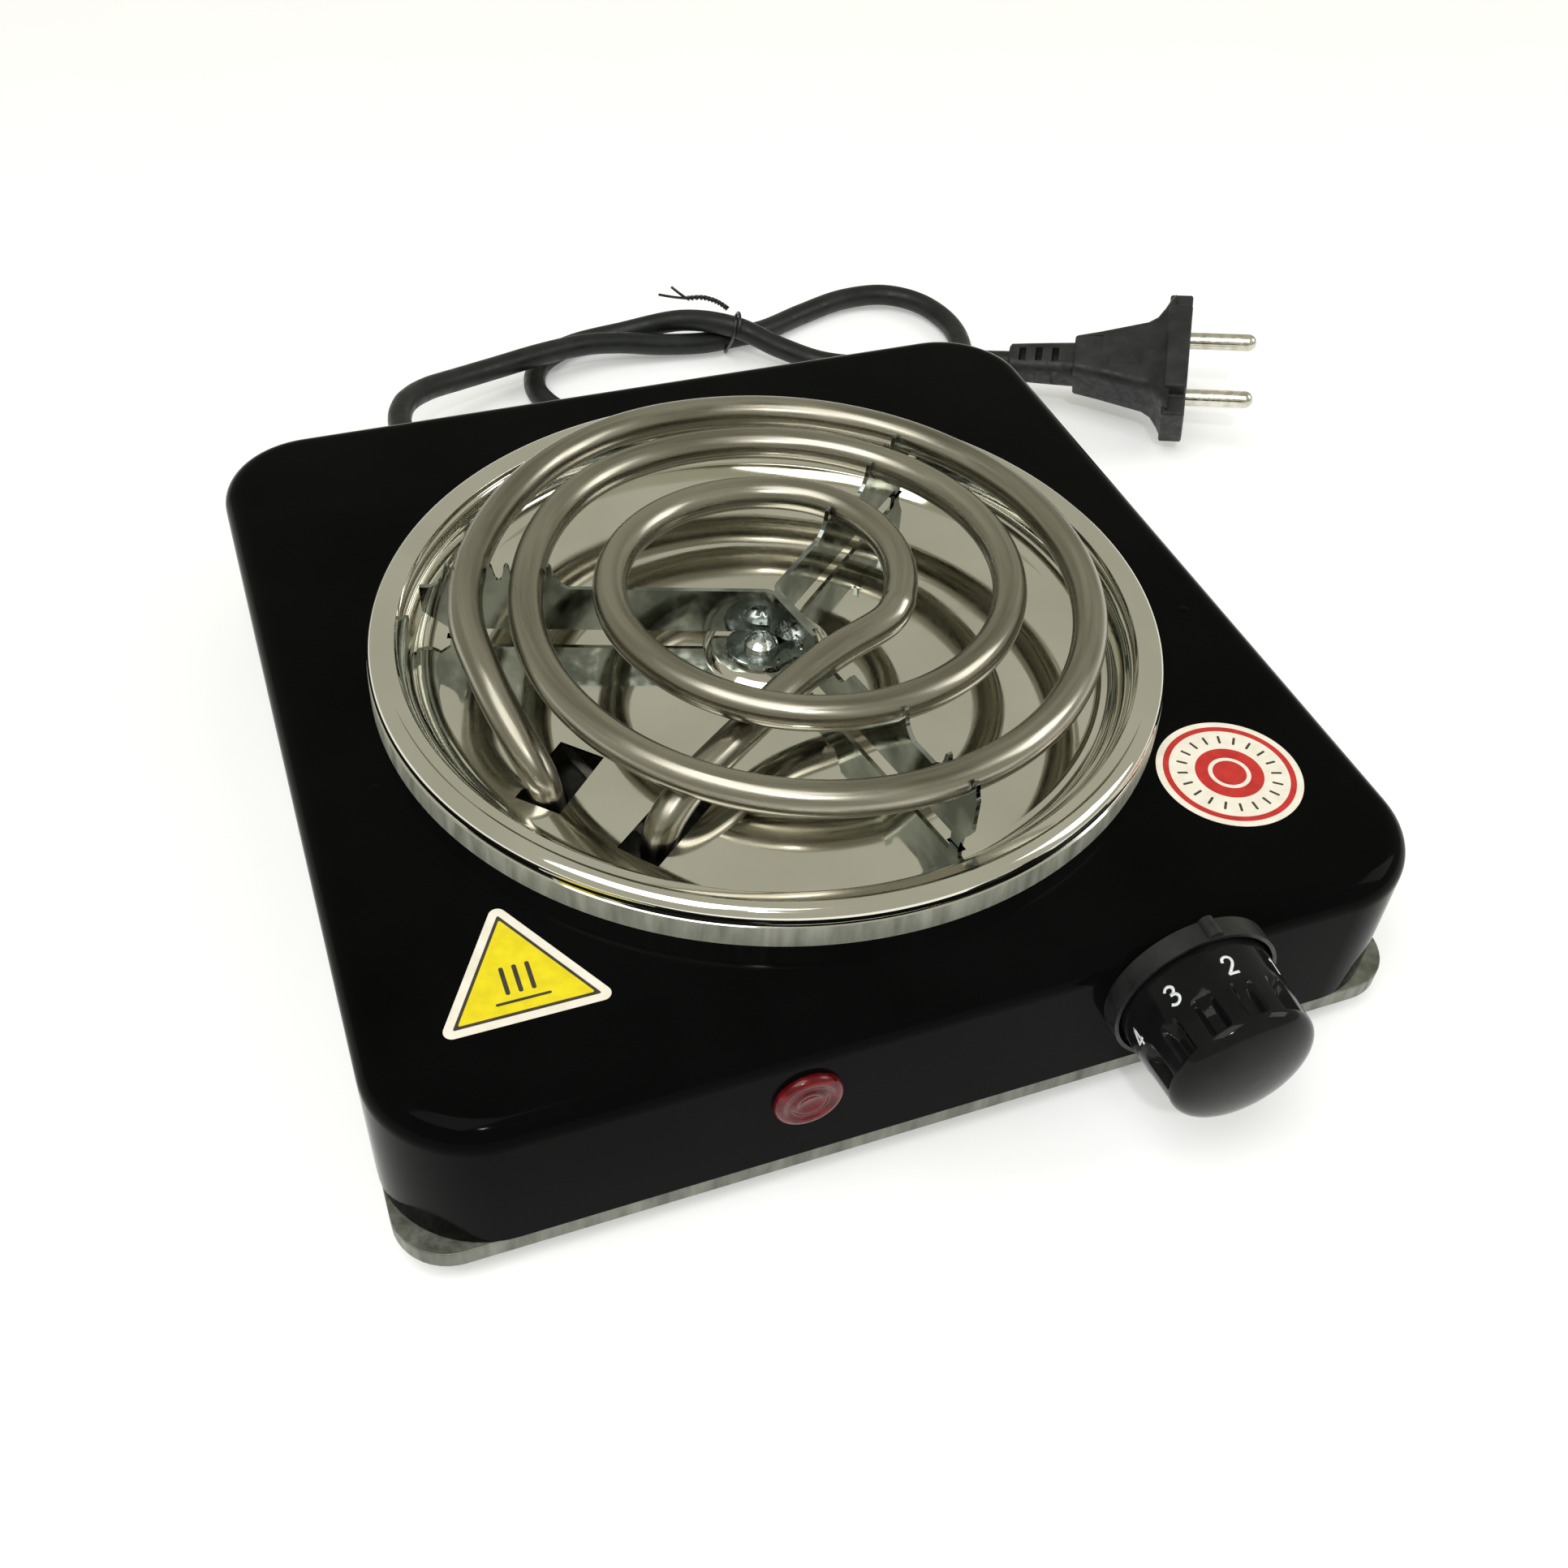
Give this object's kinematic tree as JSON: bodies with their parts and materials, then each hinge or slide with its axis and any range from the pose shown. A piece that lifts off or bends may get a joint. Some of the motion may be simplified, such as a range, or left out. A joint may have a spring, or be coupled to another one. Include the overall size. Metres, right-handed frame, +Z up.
{
  "type": "hot plate burner",
  "caption": "Square electric hot plate with one spiral tube element over a round drip pan, a front temperature knob, an indicator lamp and a short mains lead.",
  "frame": {"origin": "on the standing surface, under the middle of the footprint without the lead", "axes": "+Z up, the knob faces -Y, +X to the right seen from the front"},
  "size_m": [0.2903, 0.3242, 0.0602],
  "materials": {
    "enamel": "glossy",
    "galvanised": "matte spangled zinc",
    "zinc_bracket": "satin",
    "screw_steel": "satin",
    "foot_rubber": "matte",
    "pan_chrome": "bright plated",
    "coil_steel": "satin",
    "support_zinc": "bright zinc",
    "bright_screw": "polished",
    "ceramic": "unglazed ceramic",
    "brass": "satin",
    "bezel_plastic": "satin",
    "knob_plastic": "polished",
    "bronze": "satin",
    "silver": "satin",
    "bimetal": "satin",
    "red_lens": "translucent",
    "bulb_glass": "clear",
    "gland_rubber": "matte",
    "cord_pvc": "satin",
    "clamp_plastic": "satin",
    "wire_sleeve": "woven glass sleeve",
    "tie_plastic": "satin",
    "plug_pvc": "satin",
    "pin_nickel": "polished",
    "label_yellow": "printed film",
    "label_cream": "printed film"
  },
  "bodies": {
    "root": {"top_cover": "enamel", "base_tray": "galvanised", "cover_hangers": "zinc_bracket", "base_screws": "screw_steel", "rubber_feet": "foot_rubber", "foot_screws": "screw_steel", "drip_pan": "pan_chrome", "pan_bridge": "zinc_bracket", "heating_coil": "coil_steel", "coil_support_main": "support_zinc", "coil_support_arm": "support_zinc", "centre_screw": "bright_screw", "centre_nut": "screw_steel", "coil_end_seals": "ceramic", "coil_terminal_pins": "screw_steel", "push_on_terminals": "brass", "knob_bezel": "bezel_plastic", "thermostat_bush": "brass", "bush_nut": "brass", "thermostat_bracket": "zinc_bracket", "ceramic_insulators": "ceramic", "contact_blades": "bronze", "contact_buttons": "silver", "bimetal_strip": "bimetal", "stack_rivet": "screw_steel", "indicator_lens": "red_lens", "indicator_clip": "zinc_bracket", "neon_bulb": "bulb_glass", "cord_gland": "gland_rubber", "inner_lead": "cord_pvc", "cord_clamp": "clamp_plastic", "clamp_screw": "screw_steel", "internal_wires": "wire_sleeve", "power_cord": "cord_pvc", "twist_tie": "tie_plastic", "plug_body": "plug_pvc", "plug_pins": "pin_nickel", "surface_label": "label_yellow", "round_label": "label_cream"},
    "knob": {"control_knob": "knob_plastic", "knob_spindle": "screw_steel"},
    "adjuster": {"adjuster_pin": "ceramic"}
  },
  "joints": [
    {"name": "knob_turn", "type": "hinge", "parent": "root", "child": "knob", "pos_m": [0.0454, -0.11625, 0.0305], "axis": [0, 1, 0], "range_deg": [-90, 135]},
    {"name": "adjuster_slide", "type": "slide", "parent": "root", "child": "adjuster", "axis": [0, 1, 0], "range_m": [-0.00025, 0.00035]}
  ],
  "couplings": [
    {"joint": "adjuster_slide", "follows": "knob_turn", "m_per_rad": 0.00012}
  ]
}
